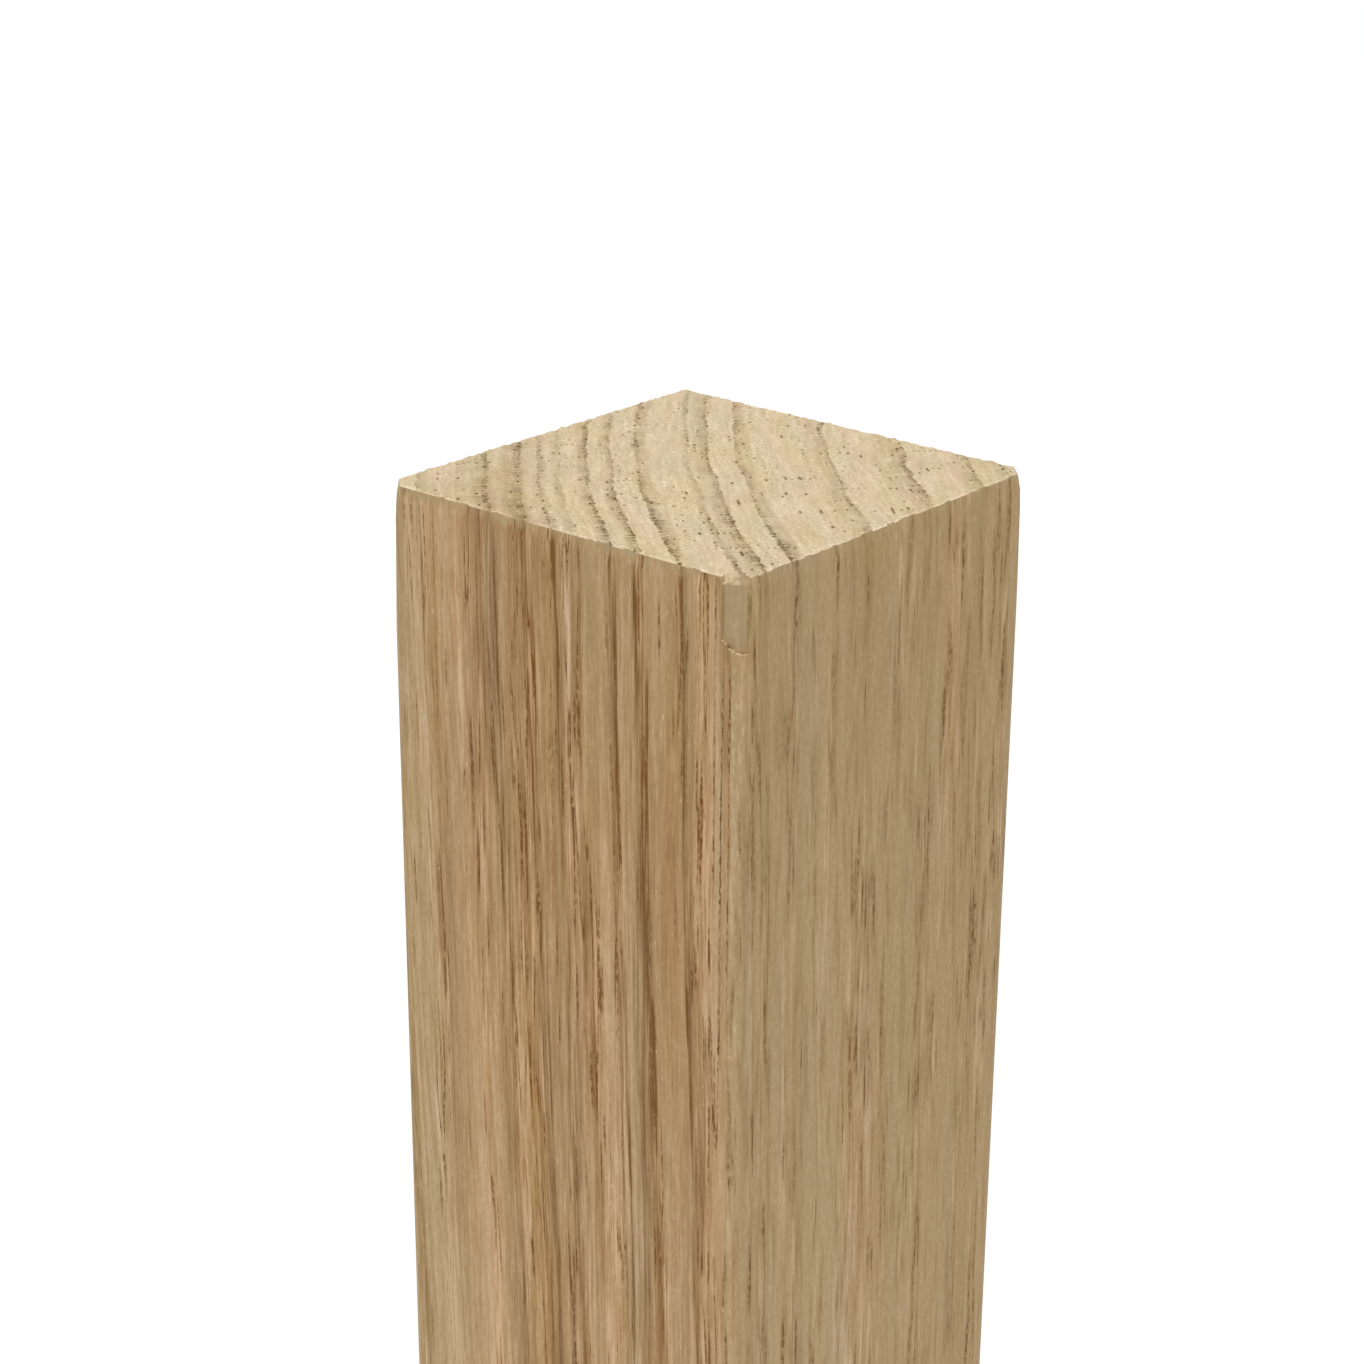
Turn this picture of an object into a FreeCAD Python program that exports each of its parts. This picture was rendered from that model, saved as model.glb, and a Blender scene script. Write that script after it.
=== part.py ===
import FreeCAD, Part
import os
from math import cos, radians, sin

# Plain square stair baluster, planed all round from one length of hardwood.
# Millimetres. The origin is the middle of the foot, +Z runs up the baluster,
# and the four planed faces look along X and Y.

# Stock: a square stick, cross-cut square at both ends
section_side = 32.0
length = 900.0

# Easing of the four long edges, so that no hand meets a sharp corner
arris_radius = 1.2

# Flake lost from the +X -Y arris where it meets the top end. It came away
# along the grain, so its floor is one flat facet that stops at a square ledge.
# The depth is measured square to the facet from the eased arris, and the turn
# is the facet's angle from the -Y face.
flake_length = 5.2
flake_depth = 0.48
flake_turn_deg = 30.0

half_side = section_side / 2


def planed_stick():
    """The square stick, cut to length and centred over the origin."""
    corner = FreeCAD.Vector(-half_side, -half_side, 0)
    return Part.makeBox(section_side, section_side, length, corner)


def runs_along_z(edge):
    """True for the long edges of the stick."""
    start, end = (vertex.Point for vertex in edge.Vertexes)
    return abs((end - start).normalize().z) > 0.999


def ease_long_edges(stick):
    """The stick with its four arrises rounded over their whole length."""
    arrises = [edge for edge in stick.Edges if runs_along_z(edge)]
    return stick.makeFillet(arris_radius, arrises)


def lost_flake():
    """Sliver between the flake's facet and the corner, from the ledge up to the end."""
    turn = radians(flake_turn_deg)
    facing = FreeCAD.Vector(sin(turn), -cos(turn), 0)
    along = FreeCAD.Vector(cos(turn), sin(turn), 0)
    inset = half_side - arris_radius
    easing_axis = FreeCAD.Vector(inset, -inset, length - flake_length)
    facet = easing_axis + facing * (arris_radius - flake_depth)
    clear = easing_axis + facing * (2 * arris_radius)
    reach = along * (2 * arris_radius)
    corners = [facet - reach, facet + reach, clear + reach, clear - reach]
    outline = Part.makePolygon(corners + corners[:1])
    return Part.Face(outline).extrude(FreeCAD.Vector(0, 0, flake_length))


def baluster():
    """The whole baluster, one solid."""
    return ease_long_edges(planed_stick()).cut(lost_flake())


os.makedirs("parts", exist_ok=True)
baluster().exportStep("parts/baluster.step")
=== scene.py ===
import math

import bmesh
import bpy
from mathutils import Matrix, Vector


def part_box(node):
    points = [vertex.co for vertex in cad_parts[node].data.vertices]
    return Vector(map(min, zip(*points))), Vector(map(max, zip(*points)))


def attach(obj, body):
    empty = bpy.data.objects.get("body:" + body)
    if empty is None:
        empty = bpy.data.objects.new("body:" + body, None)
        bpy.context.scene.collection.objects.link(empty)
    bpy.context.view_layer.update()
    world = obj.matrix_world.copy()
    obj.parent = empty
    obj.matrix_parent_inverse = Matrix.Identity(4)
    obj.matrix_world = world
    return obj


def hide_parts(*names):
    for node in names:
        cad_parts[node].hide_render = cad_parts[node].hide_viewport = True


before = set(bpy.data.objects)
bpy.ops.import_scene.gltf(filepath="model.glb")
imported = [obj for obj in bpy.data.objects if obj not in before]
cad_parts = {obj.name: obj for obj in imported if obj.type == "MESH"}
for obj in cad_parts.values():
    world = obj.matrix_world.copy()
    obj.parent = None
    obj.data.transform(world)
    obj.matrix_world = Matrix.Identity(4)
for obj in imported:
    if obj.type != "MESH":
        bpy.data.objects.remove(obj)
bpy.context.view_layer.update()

# Baluster: one length of pale brown hardwood, planed square on four sides with its long edges
# eased, then cross-cut on a saw that leaves the rims of both ends a little torn. A flake has
# broken off one arris where it meets the top end.
MM = 0.001
EASING = 1.2 * MM
EASING_STEPS = 8
CORNER_RUBS = ((0.45 * MM, 4.5 * MM), (0.3 * MM, 11.0 * MM))
RIM_BREAK = 0.11 * MM
RIM_STRIP = 1.2 * MM
RIM_CUTS = 110
RIM_TEAR = 0.19 * MM
RIM_GRAIN = 0.5 * MM
FLAKE_LENGTH = 5.2 * MM
FLAKE_DEPTH = 0.48 * MM
FLAKE_TURN = math.radians(30)
FLAKE_REACH = 0.92 * MM
FLAKE_CUTS = 14
FLAKE_TEAR = 0.12 * MM
FLAKE_GRAIN = 0.6 * MM
LEDGE_RISE = 0.85 * MM
LEDGE_BAND = 2.4 * LEDGE_RISE
LEDGE_TEAR = 0.6 * MM
LEDGE_GRAIN = 0.5 * MM
LIP_HEIGHT = 0.6 * MM
LIP_DEPTH = 0.5 * MM
TOUCHING = 0.01 * MM
SMOOTH_BELOW = math.radians(35)
UP = Vector((0, 0, 1))

foot_corner, top_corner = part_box("baluster")
stick_size = top_corner - foot_corner
stick_middle = (top_corner + foot_corner) / 2


def pick(piece, kind, wanted):
    """In edit mode, selects the verts, edges or faces of a piece that are wanted, and no others."""
    bpy.ops.mesh.select_mode(type={"verts": "VERT", "edges": "EDGE", "faces": "FACE"}[kind])
    bpy.ops.mesh.select_all(action="DESELECT")
    shape = bmesh.from_edit_mesh(piece.data)
    for element in getattr(shape, kind):
        if wanted(element):
            element.select_set(True)
    shape.select_flush_mode()
    bmesh.update_edit_mesh(piece.data)


def edge_run(edge):
    """The edge as a vector from one end to the other."""
    return edge.verts[1].co - edge.verts[0].co


def slice_all(point, facing, **after):
    """In edit mode, cuts the whole piece by a plane."""
    bpy.ops.mesh.select_all(action="SELECT")
    bpy.ops.mesh.bisect(plane_co=point, plane_no=facing, **after)


def add_block(name, size, middle, turn=0.0):
    """A block of the given size, turned about the upright through its middle."""
    bpy.ops.object.select_all(action="DESELECT")
    bpy.ops.mesh.primitive_cube_add(size=1, location=middle, rotation=(0, 0, turn), scale=size)
    block = bpy.context.object
    block.name = block.data.name = name
    bpy.ops.object.transform_apply(location=True, rotation=True, scale=True)
    return block


def tear(piece, depth, grain, level, group="", bites=1.0):
    """Roughens a piece with torn fibres. A level of 1 only takes wood away, in bites if asked."""
    fibres = bpy.data.textures.new("torn fibres", "CLOUDS")
    fibres.noise_scale = grain
    fibres.noise_depth = 3
    fibres.contrast = bites
    # Deeper bites would also lift some fibres proud of the stick, so all are lowered a little
    fibres.intensity = 1.1 - 0.1 * bites
    tearing = piece.modifiers.new("tear", "DISPLACE")
    tearing.texture = fibres
    tearing.texture_coords = "LOCAL"
    tearing.strength = depth
    tearing.mid_level = level
    tearing.vertex_group = group
    bpy.context.view_layer.objects.active = piece
    bpy.ops.object.modifier_apply(modifier=tearing.name)


baluster = add_block("planed_baluster", stick_size, stick_middle)
bpy.ops.object.mode_set(mode="EDIT")
pick(baluster, "edges", lambda edge: abs(edge_run(edge).z) > stick_size.z / 2)
bpy.ops.mesh.bevel(offset=EASING, segments=EASING_STEPS, affect="EDGES")

# Two corners of the top end, rubbed rounder by handling: deepest at the end, and dying out
# down the arris
for side_x, side_y in ((1, 1), (-1, -1)):
    outward = Vector((side_x, side_y, 0)).normalized()
    arris = outward * ((stick_size.x / 2 - EASING) * math.sqrt(2) + EASING)
    for depth, reach in CORNER_RUBS:
        slice_all(arris + UP * (top_corner.z - reach), outward + UP * (depth / reach),
                  clear_outer=True, use_fill=True)


# Both end rims: broken by a hair's breadth and torn by the saw
def from_an_end(point):
    """How far a point lies along the stick from the nearer end."""
    return min(point.z - foot_corner.z, top_corner.z - point.z)


def all_at_an_end(element):
    """True for an edge or a face that lies in the plane of either sawn end."""
    return all(from_an_end(vert.co) < TOUCHING for vert in element.verts)


def on_a_rim(point):
    """True on the broken rim of either end, and not inside the end."""
    out_from_axis = max(abs(point.x), abs(point.y))
    return from_an_end(point) < 1.2 * RIM_BREAK and out_from_axis > stick_size.x / 2 - 2 * RIM_BREAK


for height in (foot_corner.z + RIM_STRIP, top_corner.z - RIM_STRIP):
    slice_all(UP * height, UP)
pick(baluster, "faces", all_at_an_end)
bpy.ops.mesh.inset(thickness=RIM_STRIP / 2)
pick(baluster, "edges", lambda edge: all_at_an_end(edge)
     and any(abs(face.normal.z) < 0.9 for face in edge.link_faces))
bpy.ops.mesh.bevel(offset=RIM_BREAK, segments=1, affect="EDGES")
pick(baluster, "edges", lambda edge: edge_run(edge).length > stick_size.x / 2
     and all(from_an_end(vert.co) < 1.1 * RIM_STRIP for vert in edge.verts))
bpy.ops.mesh.subdivide(number_cuts=RIM_CUTS)
bpy.ops.object.mode_set(mode="OBJECT")
rims = baluster.vertex_groups.new(name="sawn rims")
rims.add([vert.index for vert in baluster.data.vertices if on_a_rim(vert.co)], 1.0, "REPLACE")
tear(baluster, depth=RIM_TEAR, grain=RIM_GRAIN, level=1.0, group=rims.name, bites=2.0)

# The flake's shape: a block against the +X -Y arris, smooth where the wood split along its grain,
# ragged at the ledge where the split stopped, and crumbled inwards at the lip of the end
facing = Vector((math.sin(FLAKE_TURN), -math.cos(FLAKE_TURN), 0))
along = Vector((math.cos(FLAKE_TURN), math.sin(FLAKE_TURN), 0))
easing_axis = Vector((stick_size.x / 2 - EASING, EASING - stick_size.y / 2,
                      top_corner.z - FLAKE_LENGTH))
facet = easing_axis + facing * (EASING - FLAKE_DEPTH)
wedge_size = Vector((2 * EASING, 3 * EASING, FLAKE_LENGTH + LIP_HEIGHT))
wedge_middle = facet + facing * wedge_size.x / 2 + UP * (wedge_size.z / 2)
wedge_middle += along * (wedge_size.y / 2 - FLAKE_REACH)
wedge = add_block("flake_wedge", wedge_size, wedge_middle, turn=FLAKE_TURN - math.pi / 2)


def left_of_arris(point):
    """How far a point of the wedge lies to the left of the eased arris."""
    return -(point - facet).dot(along)


bpy.ops.object.mode_set(mode="EDIT")
slice_all(UP * (top_corner.z - LIP_HEIGHT), UP)
pick(wedge, "verts", lambda vert: vert.co.z > top_corner.z
     and (vert.co - facet).dot(facing) < TOUCHING and left_of_arris(vert.co) > 0)
bpy.ops.transform.translate(value=-facing * 2 * LIP_DEPTH)
slice_all(facet, along)
slice_all(facet + UP * LEDGE_BAND, UP)
pick(wedge, "verts", lambda vert: vert.co.z < facet.z + TOUCHING
     and left_of_arris(vert.co) > TOUCHING)
bpy.ops.transform.translate(value=(0, 0, LEDGE_RISE))
bpy.ops.mesh.select_all(action="SELECT")
bpy.ops.mesh.subdivide(number_cuts=FLAKE_CUTS)
bpy.ops.object.mode_set(mode="OBJECT")
ledge = wedge.vertex_groups.new(name="ledge")
ledge.add([vert.index for vert in wedge.data.vertices
           if vert.normal.z < -0.3 and vert.co.z < facet.z + 2 * LEDGE_RISE], 1.0, "REPLACE")
tear(wedge, depth=LEDGE_TEAR, grain=LEDGE_GRAIN, level=0.5, group=ledge.name)
tear(wedge, depth=FLAKE_TEAR, grain=FLAKE_GRAIN, level=0.5)

breaking = baluster.modifiers.new("flake", "BOOLEAN")
breaking.operation = "DIFFERENCE"
breaking.object = wedge
breaking.solver = "EXACT"
bpy.context.view_layer.objects.active = baluster
bpy.ops.object.modifier_apply(modifier=breaking.name)
bpy.data.objects.remove(wedge)
bpy.ops.object.select_all(action="DESELECT")
baluster.select_set(True)
bpy.ops.object.shade_smooth_by_angle(angle=SMOOTH_BELOW)
flat_faces = baluster.modifiers.new("flat faces", "WEIGHTED_NORMAL")
flat_faces.keep_sharp = True
bpy.ops.object.modifier_apply(modifier=flat_faces.name)


class Signal:
    """A socket of a material's nodes. Arithmetic on it adds Math nodes, and node() any other."""

    def __init__(self, tree, socket=None):
        self.tree = tree
        self.socket = socket

    def node(self, kind, settings=None, inputs=None, output=0):
        """Adds one node, sets it up, feeds it, and returns one of its outputs."""
        made = self.tree.nodes.new(kind)
        for setting, value in (settings or {}).items():
            if setting == "stops":
                bands = made.color_ramp.elements
                bands[0].position, bands[0].color = value[0]
                bands[1].position, bands[1].color = value[-1]
                for position, shade in value[1:-1]:
                    bands.new(position).color = shade
            else:
                setattr(made, setting, value)
        for name, value in (inputs or {}).items():
            if isinstance(value, Signal):
                self.tree.links.new(value.socket, made.inputs[name])
            else:
                made.inputs[name].default_value = value
        return Signal(self.tree, made.outputs[output])

    def out(self, output):
        """Another output of the same node."""
        return Signal(self.tree, self.socket.node.outputs[output])

    def math(self, operation, *others):
        """One Math node with this signal first."""
        values = dict(enumerate((self, *others)))
        return self.node("ShaderNodeMath", {"operation": operation}, values)

    def __add__(self, other):
        return self.math("ADD", other)

    def __radd__(self, other):
        return self.math("ADD", other)

    def __sub__(self, other):
        return self.math("SUBTRACT", other)

    def __rsub__(self, other):
        return self.math("MULTIPLY_ADD", -1.0, other)

    def __mul__(self, other):
        return self.math("MULTIPLY", other)

    def __rmul__(self, other):
        return self.math("MULTIPLY", other)

    def __truediv__(self, other):
        return self.math("DIVIDE", other)

    def __pow__(self, other):
        return self.math("POWER", other)

    def size(self):
        """This number without its sign."""
        return self.math("ABSOLUTE")

    def at_least(self, other):
        """The larger of two numbers."""
        return self.math("MAXIMUM", other)

    def fade(self, start, end):
        """Eases from 0 at start to 1 at end."""
        limits = {"Value": self, "From Min": start, "From Max": end}
        return self.node("ShaderNodeMapRange", {"interpolation_type": "SMOOTHSTEP"}, limits)

    def vector(self, y, z):
        """A vector with this number as its X."""
        return self.node("ShaderNodeCombineXYZ", inputs={0: self, 1: y, 2: z})

    def axes(self):
        """The X of this vector, from which out() gets the Y and the Z."""
        return self.node("ShaderNodeSeparateXYZ", inputs={0: self})

    def stretched(self, *scales):
        """This vector with each axis scaled on its own."""
        return self.node("ShaderNodeVectorMath", {"operation": "MULTIPLY"}, {0: self, 1: scales})

    def noise(self, *waves, detail=0.0, rough=0.5, finer=2.0):
        """Soft noise about zero, with so many waves to the millimetre along each axis."""
        inputs = {"Vector": self.stretched(*waves), "Scale": 1.0, "Detail": detail,
                  "Roughness": rough, "Lacunarity": finer}
        return self.node("ShaderNodeTexNoise", inputs=inputs) - 0.5

    def cells(self, *spacing, output="Distance"):
        """Scattered cells, so many millimetres apart along each axis. Two axes make flat ones."""
        scales = [1 / step for step in spacing] + [0] * (3 - len(spacing))
        settings = {"voronoi_dimensions": f"{len(spacing)}D"}
        inputs = {"Vector": self.stretched(*scales), "Scale": 1.0}
        return self.node("ShaderNodeTexVoronoi", settings, inputs, output)

    def lot(self):
        """A number drawn for each of these cells, from which out("Green") gets a second one."""
        return self.node("ShaderNodeSeparateColor", inputs={0: self.out("Color")})

    def ramp(self, stops):
        """Colours or greys along a scale that runs from the first stop to the last."""
        low, high = stops[0][0], stops[-1][0]
        marks = [((mark - low) / (high - low), shade) for mark, shade in stops]
        return self.node("ShaderNodeValToRGB", {"stops": marks}, {0: (self - low) / (high - low)})

    def tinted(self, amount, other):
        """This colour mixed towards another."""
        return self.node("ShaderNodeMix", {"data_type": "RGBA"}, {0: amount, 6: self, 7: other}, 2)


def paint(red, green, blue):
    """A colour as it is given, 0 to 255, as the light that a surface sends back."""
    shades = [step / 255 for step in (red, green, blue)]
    return (*(s / 12.92 if s <= 0.04045 else ((s + 0.055) / 1.055) ** 2.4 for s in shades), 1.0)


def grey(level):
    """A neutral ramp stop."""
    return (level, level, level, 1.0)


# The tree, in mm: how far its pith lies from the stick's axis, how the rings drift and sway along
# the stick, and how far apart and how long the vessels are
PITH = 150.0
DRIFT = 4.0
DRIFT_RUN = 1000.0
SWAY = 0.8
VESSEL_SPACING = (0.42, 0.42, 10)
# Growth rings across the stick's diagonal, in mm from its axis: where the dark late wood stops
# dead, how dark it is, how far off and on which side it begins, and how dark the wood is beyond
LATE_WOOD = (
    (-30.6, 0.7, 1.6, 0.0), (-28.2, 0.8, 1.2, 0.0), (-25.4, 0.6, 1.5, 0.0), (-23.4, 0.6, 1.0, 0.0),
    (-20.3, 0.6, 1.2, 0.1), (-17.7, 0.4, 0.6, 0.2), (-15.6, 0.8, -1.5, 0.3),
    (-13.3, 0.75, -1.0, 0.2), (-12.1, 0.7, 0.7, 0.0), (-10.5, 0.5, -0.6, 0.0),
    (-8.5, 0.9, -0.9, 0.0), (-6.8, 0.8, -0.9, 0.0), (-5.0, 0.9, 1.1, 0.0), (-1.2, 0.6, -0.5, 0.1),
    (0.3, 0.8, -1.2, 0.0), (2.3, 0.8, 1.2, 0.0), (8.9, 0.7, -1.9, 0.0), (14.2, 0.9, -2.4, 0.0),
    (18.5, 0.8, -1.6, 0.1), (20.9, 0.8, -1.3, 0.0), (23.8, 0.7, 1.5, 0.0), (26.9, 0.8, 1.2, 0.0),
    (29.6, 0.6, 1.0, 0.0),
)
# How wide the dead stop is, and how dark the late wood still is at a shoulder beside it
RING_STEP = 0.1
RING_SHOULDER = 0.35
SHOULDER_DARK = 0.55
RINGS_TO_A_RAMP = 7
RAMP_MARGIN = 0.5


class Wood:
    """The figure of the solid wood, the same whichever way the saw cuts it, in mm."""

    def __init__(self, tree):
        place = Signal(tree).node("ShaderNodeTexCoord", output="Object")
        self.x = place.stretched(1 / MM, 1 / MM, 1 / MM).axes()
        self.y = self.x.out("Y")
        self.below = top_corner.z / MM - self.x.out("Z")
        drift = (self.below * (math.tau / DRIFT_RUN)).math("SINE") * DRIFT
        radial = (self.x + self.y) * math.sqrt(0.5) - drift
        tangent = (self.x - self.y) * math.sqrt(0.5)
        sway = radial.vector(tangent, self.below).noise(0.12, 0.12, 0.03, detail=1.0) * SWAY
        self.radial, self.tangent = radial + sway, tangent + sway
        self.grain = self.radial.vector(self.tangent, self.below)
        from_pith = ((self.radial - PITH) ** 2 + self.tangent * self.tangent) ** 0.5
        self.streak = self.grain.noise(0.9, 0.9, 0.011, detail=2.0, rough=0.85, finer=2.6)
        self.ring = PITH - from_pith + self.streak * 0.9
        self.rings = self.ring.vector(self.tangent, self.below)
        self.late = self.late_wood()
        vessel = self.grain.cells(*VESSEL_SPACING)
        self.lot = vessel.lot()
        self.vessel = 1 - (vessel - self.lot.out("Green") * 0.14).fade(0.08, 0.18)

    def late_wood(self):
        """How much late wood there is, 0 to 1."""
        total = None
        before = 0.0
        for first in range(0, len(LATE_WOOD), RINGS_TO_A_RAMP):
            stops = []
            for edge, dark, rise, beyond in LATE_WOOD[first:first + RINGS_TO_A_RAMP]:
                paler = beyond if rise > 0 else before
                shoulder = SHOULDER_DARK * dark + (1 - SHOULDER_DARK) * paler
                if rise > 0:
                    stops += [(edge - RING_STEP, before), (edge, dark),
                              (edge + RING_SHOULDER, shoulder), (edge + rise, beyond)]
                else:
                    stops += [(edge + rise, before), (edge - RING_SHOULDER, shoulder),
                              (edge, dark), (edge + RING_STEP, beyond)]
                before = beyond
            low, high = stops[0][0] - RAMP_MARGIN, stops[-1][0] + RAMP_MARGIN
            stops = [(low, 0.0), *stops, (high, 0.0)]
            part = self.ring.ramp([(mark, grey(level)) for mark, level in stops])
            total = part if total is None else total.at_least(part)
        return total


def new_finish(name):
    """A material with nodes, and its shader."""
    material = bpy.data.materials.new(name)
    material.use_nodes = True
    return material, material.node_tree, material.node_tree.nodes["Principled BSDF"]


RELIEF = 0.06 * MM


def dress(tree, shader, colour, height, roughness, shine):
    """Gives a shader of bare wood its colour, its fine relief and its dull shine."""
    tree.links.new(colour.socket, shader.inputs["Base Color"])
    shader.inputs["Roughness"].default_value = roughness
    shader.inputs["Specular IOR Level"].default_value = shine
    relief = {"Height": height, "Strength": 0.5, "Distance": RELIEF}
    bump = height.node("ShaderNodeBump", inputs=relief)
    tree.links.new(bump.socket, shader.inputs["Normal"])


# Dark cracks along the grain of the tanned -Y face: how far across the face in mm, how far they
# lean in each mm down, where they start and stop below the end, half their width, and how dark
# they are in steps of 255
SPLITS = (
    (-11.4, 0.0, 1, 20, 0.1, 30), (-6.9, 0.06, 9, 33, 0.1, 46), (-3.8, 0.0, 0, 18, 0.08, 26),
    (-2.8, 0.0, 10, 26, 0.09, 40), (-0.5, 0.01, 0, 30, 0.5, 16), (1.5, 0.0, 0, 8, 0.09, 30),
    (4.4, 0.035, 4, 62, 0.12, 34), (7.2, 0.04, 2, 46, 0.45, 20), (11.2, 0.02, 0, 20, 0.5, 24),
    (12.6, 0.0, 0, 14, 0.08, 40), (13.4, 0.01, 20, 70, 0.1, 30), (13.95, 0.0, 0, 25, 0.07, 60),
    (14.55, 0.0, 5.5, 40, 0.06, 80), (15.12, 0.002, 6, 34, 0.06, 80), (15.3, 0.0, 40, 70, 0.1, 34),
)
# How much darker the tan is across that face, in mm from its middle and in steps of 255
TAN_SHADE = (
    (-16, 2), (-14, 2), (-11.7, -9), (-9.5, -3), (-8, -1), (-6, 3), (-4, 5), (-2.3, 11), (-0.8, 3),
    (0.8, 13), (2.4, 2), (4, 0), (5.4, 8), (7, 28), (8.5, 4), (10, -5), (11.6, -5), (13, 0),
    (14.7, 1), (16, 1),
)
TAN_LEAN = 0.02
LIGHTEST_TAN = -12
TAN_RANGE = 44
# Planed wood from dark to light, by its tone: steps of 255 from the wood's plain colour
OLIVE = ((-60, paint(121, 88, 34)), (0, paint(183, 155, 110)), (40, paint(223, 197, 157)))
BROWN = ((-60, paint(126, 82, 27)), (0, paint(188, 149, 102)), (40, paint(227, 191, 149)))


def planed_skin(wood):
    """Planed skin, where it is tanned, and where an arris is worn and has a painted highlight."""
    flat = (stick_size.x / 2 - EASING) / MM
    past_x = (wood.x.size() - flat).at_least(0.0)
    past_y = (wood.y.size() - flat).at_least(0.0)
    skin = (past_x * past_x + past_y * past_y).math("SQRT").fade(0.98, 1.19)
    front = (-1 * wood.y).fade(0, 1)
    tanned = skin * past_y.fade(1.05, 1.19) * front
    # The arrises are painted lighter, most near the top end: partly wear, partly a painted
    # highlight
    nearer_top_end = 1 - wood.below.fade(8, 30) * 0.6
    wear_and_highlight = skin * past_x.fade(0.3, 0.55) * past_y.fade(0.4, 0.7) * nearer_top_end
    return skin, tanned, wear_and_highlight


def hairlines(grain, stroke, bundle):
    """Hairline cracks between the fibres, and the bright fibres that stand beside them."""
    fibre = grain.noise(1.3, 1.3, 0.028, detail=1.0, rough=0.6)
    thread = grain.noise(2.6, 2.6, 0.06, detail=1.0, rough=0.6)
    crack = (1 - fibre.size().fade(0.008, 0.035)) * stroke * bundle
    finer = (1 - thread.size().fade(0.005, 0.03)) * (0.2 + stroke * bundle * 0.8)
    gleam = fibre.fade(0.05, 0.08) * (1 - fibre.fade(0.1, 0.14)) * stroke * bundle
    return crack + finer * 0.55, gleam


def long_splits(wood, bead, stroke):
    """The longest cracks, which waver with the grain and are bridged by fibres here and there."""
    waver = bead * 0.3 + wood.streak * 0.3
    total = 0.0
    for place, lean, start, stop, half_width, dark in SPLITS:
        aside = (wood.x - place - wood.below * lean + waver).size()
        run = wood.below.fade(start - 1, start + 2) * (1 - wood.below.fade(stop - 6, stop))
        total = (1 - aside.fade(half_width * 0.4, half_width * 1.5)) * run * dark + total
    return total * (0.5 + stroke * 0.5)


def planed_long_grain():
    """The four planed faces: streaks of late wood and open vessels that run up the stick."""
    material, tree, shader = new_finish("planed long grain")
    wood = Wood(tree)
    grain = wood.grain
    skin, tanned, wear_and_highlight = planed_skin(wood)

    # What runs up the grain, from the broadest bands to single fibres
    broad = grain.noise(0.25, 0.25, 0.01, detail=1.0)
    ruddy = grain.noise(0.6, 0.6, 0.012, detail=2.0, rough=0.7)
    honey = grain.noise(0.35, 0.35, 0.03, detail=1.0)
    hair = grain.noise(3.4, 3.4, 0.3, detail=2.0, rough=0.85, finer=2.2)
    bead = grain.noise(3.5, 3.5, 1.8, detail=1.0, rough=0.7)
    fleck = grain.noise(4.1, 4.1, 1.5, detail=1.0).fade(0.2, 0.28)
    fleck = fleck * grain.noise(0.7, 0.7, 0.2).fade(0.02, 0.16)
    shred = grain.noise(5.0, 5.0, 1.4).fade(0.08, 0.2)
    strand = grain.noise(2.8, 2.8, 0.05, detail=2.0, rough=0.8, finer=2.3)
    strand = (0.85 + strand * 5).at_least(0.0)
    bundle = (grain.noise(0.6, 0.6, 0.016, detail=1.0) + wood.late * 0.12).fade(-0.02, 0.13)
    stroke = grain.noise(2.0, 2.0, 0.2).fade(-0.06, 0.08)
    crack, gleam = hairlines(grain, stroke, bundle)
    nick = grain.noise(1.7, 1.7, 0.12, detail=1.0, rough=0.7)
    dash = nick.fade(0.03, 0.14) * (0.45 + bundle * 0.55)
    glint = (-1 * nick).fade(0.05, 0.15) * bundle
    opened = wood.late * 0.2 + bundle * 0.4 + 0.3
    open_vessel = wood.vessel * (wood.lot + opened - 1).fade(-0.05, 0.3)
    split = long_splits(wood, bead, stroke) * tanned
    shades = [(x, grey((darker - LIGHTEST_TAN) / TAN_RANGE)) for x, darker in TAN_SHADE]
    shade = (wood.x - wood.below * TAN_LEAN).ramp(shades) * TAN_RANGE + LIGHTEST_TAN

    # The tone: each of them by how much it lightens or darkens the wood
    lines = wood.streak.fade(-0.13, 0.13) * 14 - (wood.late * 46 + shade * tanned) * strand
    lines = lines + broad * (50 + tanned * 14) + 6
    tone = lines * (0.24 + tanned * 0.88) + hair * (28 + tanned * 28) + bead * 28
    tone = tone + fleck * (8 + tanned * 24) + gleam * (11 + tanned * 9) + glint * (17 - tanned)
    dark = crack * (26 + tanned * 34) + dash * (34 - tanned * 22) + open_vessel * 44 + split
    # Painted shade: the long grain is up to 5 steps darker towards the top end, over its last 70 mm
    tone = tone - dark * (0.85 + bead * 4) - (1 - wood.below.fade(0, 70)) * 5 + 5 - tanned * 2
    # The arrises' lighter tone: partly wear, partly a painted highlight
    tone = (tone + wear_and_highlight * (8 + shred * 17)) * (0.65 + skin * 0.35) + (1 - skin) * 2

    # The colour: olive where the wood is fresh, browner where it is tanned
    fresh = (1 - wood.below.fade(4, 26)) * wood.x.fade(-5, 1)
    tan = tanned * (wood.ring.fade(-21.8, -19) * 1.15 - 0.15) * (1 - fresh * 0.4)
    browner = tan * (0.7 + ruddy * 1.1) + ruddy * 1.4 + skin * 0.25 - 0.1
    colour = tone.ramp(OLIVE).tinted(browner, tone.ramp(BROWN))
    richness = {"Saturation": 0.92 + skin * 0.08 + honey * 0.2, "Color": colour}
    colour = colour.node("ShaderNodeHueSaturation", inputs=richness)
    dress(tree, shader, colour, height=hair - open_vessel, roughness=0.62, shine=0.3)
    return material


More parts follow.
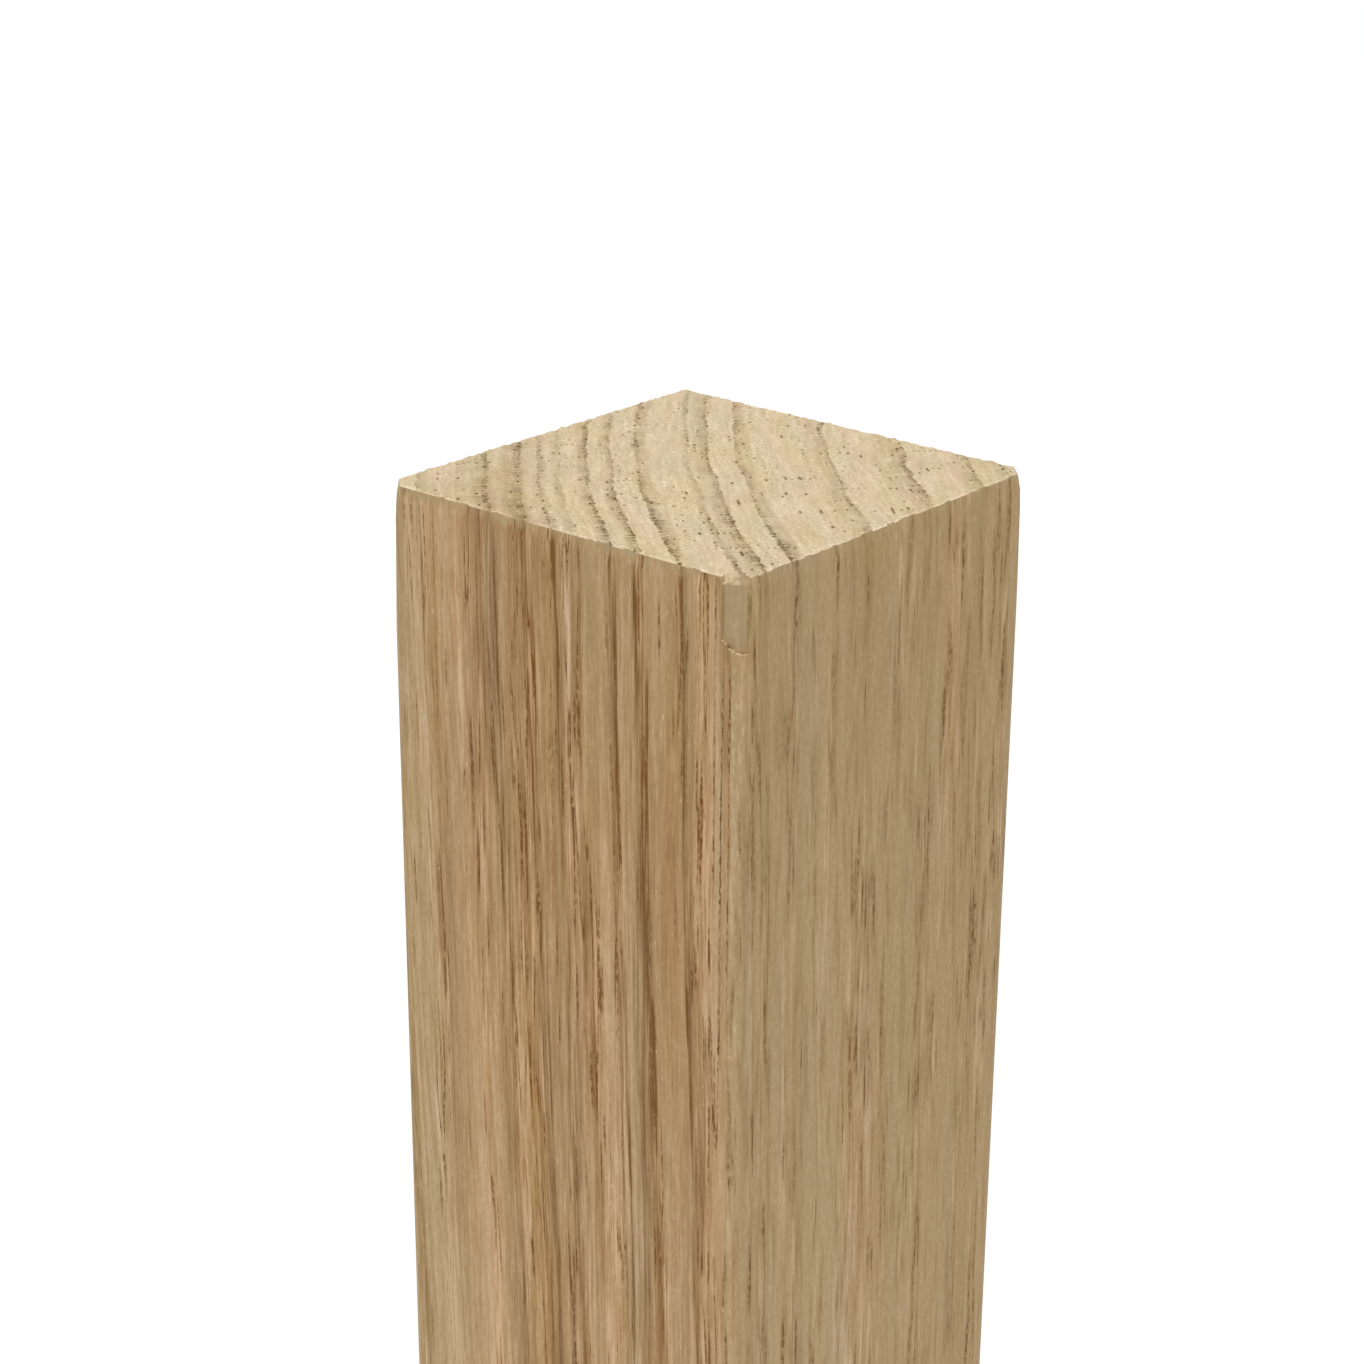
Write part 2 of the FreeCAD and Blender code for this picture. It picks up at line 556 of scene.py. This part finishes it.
# Larger pores torn open by the saw across the ends: where in mm from the stick's axis, and how
# large. Each is a slot along the rings.
PITS = (
    (-2.1, 10.6, 0.5), (5.2, 3.5, 0.6), (4.4, 2.8, 0.5), (3.6, 1.6, 0.4), (2.3, -0.5, 0.4),
    (7.8, 0.9, 0.4), (6.7, 0.1, 0.35), (5.6, -3.6, 0.9), (11.0, -1.5, 0.5), (10.1, -2.5, 0.4),
    (13.5, -3.6, 0.4), (14.4, 1.9, 1.1), (14.9, 3.0, 0.4), (5.5, 10.5, 0.45), (4.3, 10.5, 0.35),
    (10.9, 11.0, 0.4), (1.4, -4.3, 0.4), (7.9, -10.5, 0.4), (12.5, -11.8, 0.6),
)
PIT_HALF_WIDTH = 0.11
PIT_STRETCH = 0.75
PORE_SPACING = (0.45, 0.9)
ROW_SPACING = (3.2, 1.6)
# Sawn wood from dark to light, by its tone
ASH = ((-80, paint(111, 90, 57)), (-38, paint(163, 145, 112)),
       (0, paint(202, 184, 150)), (40, paint(237, 221, 192)))
PINK = ((-80, paint(116, 84, 49)), (-38, paint(167, 139, 108)),
        (0, paint(208, 180, 146)), (40, paint(242, 217, 189)))
STRAW = ((-80, paint(112, 88, 43)), (-38, paint(163, 143, 101)),
         (0, paint(203, 183, 139)), (40, paint(238, 220, 182)))


def cut_pores(wood, busy):
    """Vessels cut across, closest together in the late wood and where the rings are busy."""
    apart = wood.grain.cells(*PORE_SPACING)
    lot = apart.lot()
    pore = 1 - (apart - lot.out("Green") * 0.12).fade(0.06, 0.2)
    return pore * (lot + wood.late * 0.3 + busy * 0.2 - 0.95).fade(0.0, 0.2)


def pore_rows(grain, grit):
    """A few short rows of pores across the rings, and the pale chips between their pores."""
    plot = grain.cells(*ROW_SPACING, output="Position")
    from_middle = {0: plot, 1: (-ROW_SPACING[0], -ROW_SPACING[1], 0), 2: grain}
    along = grain.node("ShaderNodeVectorMath", {"operation": "MULTIPLY_ADD"}, from_middle).axes()
    row = (1 - along.out("Y").size().fade(0.05, 0.14)) * (1 - along.size().fade(0.6, 1.2))
    row = row * plot.lot().fade(0.92, 0.95)
    beat = (along * 15 + grit * 6).math("COSINE") + grit * 3
    return row * beat.fade(-0.1, 0.6), row * (1 - beat.fade(-0.9, -0.4))


def torn_pits(wood):
    """The larger pores."""
    total = 0.0
    for across, up, length in PITS:
        radial = wood.radial - (across + up) * math.sqrt(0.5)
        tangent = wood.tangent - (across - up) * math.sqrt(0.5)
        far = (radial / PIT_HALF_WIDTH) ** 2 + (tangent / (PIT_STRETCH * length)) ** 2
        total = 1 - far.fade(0.3, 1.6) + total
    return total


def sawn_end_grain():
    """The two sawn ends: paler, with the rings edge on and the vessels cut across as dots."""
    material, tree, shader = new_finish("sawn end grain")
    wood = Wood(tree)
    grain, rings = wood.grain, wood.rings

    # What follows the rings, what crosses them, what the saw left, and a painted highlight at the
    # rim
    sawn = rings.noise(2.4, 0.2, 0.05, detail=2.0, rough=0.85, finer=2.3)
    patch = rings.noise(0.3, 0.35, 0.05, detail=1.0, rough=0.7)
    blush = rings.noise(0.5, 0.12, 0.01, detail=1.0)
    honey = rings.noise(0.45, 0.1, 0.02, detail=1.0)
    busy = rings.noise(0.4, 0.06, 0.02, detail=1.0).fade(-0.12, 0.12)
    edge = wood.late.fade(0.45, 0.8) * rings.noise(0.8, 0.15, 0.02, detail=1.0).fade(-0.1, 0.1)
    stained = wood.ring.fade(-17, -15) * (1 - wood.ring.fade(-14, -12.5)) * wood.tangent.fade(-7, 3)
    rays = grain.noise(0.4, 4.2, 0.05, detail=1.0, rough=0.7)
    grit = grain.noise(4.5, 4.5, 0.05, detail=1.0, rough=0.7)
    spark = grain.noise(2.6, 2.6, 0.05).fade(0.21, 0.27)
    granule = (0.75 + rays * 2.4 + grit * 5 + patch * 3).at_least(0.0)
    # Painted highlight: the end is lighter in a ragged band just inside its rim, where the edge
    # catches light
    rim = (wood.x.size().at_least(wood.y.size()) + grit * 0.6).fade(15.6, 15.85)
    pore = cut_pores(wood, busy)
    pit = torn_pits(wood)
    row, chip = pore_rows(grain, grit)

    # The tone: each of them by how much it lightens or darkens the wood
    darkest = wood.tangent.fade(0, 15) * 34 + 48
    tone = sawn * 72 + grit * (40 + busy * 44) + patch * 16
    tone = tone - wood.late * granule * darkest - edge * 18 - stained * 16
    tone = tone - pore * 64 - row * 72 - pit * 70 + chip * 24 + spark * 24 + rim * 16 + 9

    # The colour: ash, with bands that turn to pink or to straw
    colour = tone.ramp(ASH).tinted(0.4 + blush * 2.6 + stained * 0.9, tone.ramp(PINK))
    colour = colour.tinted(0.24 + honey * 2.7 + stained * 0.3, tone.ramp(STRAW))
    dress(tree, shader, colour, height=sawn - pore, roughness=0.8, shine=0.2)
    return material


baluster.data.materials.append(planed_long_grain())
baluster.data.materials.append(sawn_end_grain())
for face in baluster.data.polygons:
    near_a_rim = from_an_end(face.center) < LIP_HEIGHT
    across_grain = abs(face.normal.z) > (0.5 if near_a_rim else 0.8)
    face.material_index = 1 if across_grain else 0
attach(baluster, "root")
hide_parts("baluster")

# Studio: a pale floor that runs out to white, one broad soft lamp overhead and even light all
# around. The floor glows less about the foot, so that the shadow there shows.
FLOOR_WIDTH = 40.0
FLOOR_GREY = 0.8
GLOW_AT_FOOT = 0.29
GLOW_ADDED = 0.17
GLOW_REACH = (0.2, 2.0)
LIGHT_AROUND = 0.7
LAMP_PLACE = (0.3, -0.5, 2.6)
LAMP_WIDTH = 1.6
LAMP_POWER = 14.0


def seen_directly(tree):
    """1 where the lens, a reflection or clear glass looks straight at a surface."""
    camera = Signal(tree).node("ShaderNodeLightPath", output="Is Camera Ray")
    glossy, clear = camera.out("Is Glossy Ray"), camera.out("Is Transmission Ray")
    return camera.at_least(glossy).at_least(clear)


bpy.ops.object.select_all(action="DESELECT")
bpy.ops.mesh.primitive_plane_add(size=FLOOR_WIDTH, location=(0, 0, foot_corner.z))
floor = bpy.context.object
floor.name = "studio_floor"
bpy.ops.object.transform_apply(location=True)
floor_paint, tree, shader = new_finish("floor paint")
shader.inputs["Base Color"].default_value = grey(FLOOR_GREY)
shader.inputs["Roughness"].default_value = 1.0
shader.inputs["Specular IOR Level"].default_value = 0.0
place = Signal(tree).node("ShaderNodeTexCoord", output="Object")
from_foot = place.node("ShaderNodeVectorMath", {"operation": "LENGTH"}, {0: place}, "Value")
glow = seen_directly(tree) * (GLOW_AT_FOOT + from_foot.fade(*GLOW_REACH) * GLOW_ADDED)
tree.links.new(glow.socket, shader.inputs["Emission Color"])
shader.inputs["Emission Strength"].default_value = 1.0
floor.data.materials.append(floor_paint)

world = bpy.data.worlds.new("studio surround")
bpy.context.scene.world = world
world.use_nodes = True
tree = world.node_tree
shades = {0: seen_directly(tree), 6: grey(LIGHT_AROUND), 7: grey(1.0)}
surround = Signal(tree).node("ShaderNodeMix", {"data_type": "RGBA"}, shades, 2)
tree.links.new(surround.socket, tree.nodes["Background"].inputs["Color"])

bpy.ops.object.light_add(type="AREA", location=LAMP_PLACE)
softbox = bpy.context.object
softbox.data.shape = "DISK"
softbox.data.size = LAMP_WIDTH
softbox.data.energy = LAMP_POWER
to_top_end = UP * top_corner.z - softbox.location
softbox.rotation_euler = to_top_end.to_track_quat("-Z", "Y").to_euler()

# Camera: above the top end, looking down across the arris between the -Y and +X faces. Its place,
# turn and focal length were solved from the edges of the end and the uprights.
CAMERA_PLACE = (0.12826, -0.15404, 0.96208)
AZIMUTH = math.radians(40.316)
ELEVATION = math.radians(21.173)
ROLL = math.radians(0.334)
SENSOR = 36.0
IMAGE_SIDE_PIXELS = 1364
FOCAL_PIXELS = 2994.7
NEAREST_SEEN = 0.01
bpy.ops.object.camera_add(location=CAMERA_PLACE)
camera = bpy.context.object
camera.rotation_euler = (Matrix.Rotation(AZIMUTH, 3, "Z")
                         @ Matrix.Rotation(math.pi / 2 - ELEVATION, 3, "X")
                         @ Matrix.Rotation(ROLL, 3, "Z")).to_euler()
camera.data.sensor_width = SENSOR
camera.data.lens = FOCAL_PIXELS / IMAGE_SIDE_PIXELS * SENSOR
camera.data.clip_start = NEAREST_SEEN
bpy.context.scene.camera = camera
bpy.context.scene.view_settings.view_transform = "Standard"
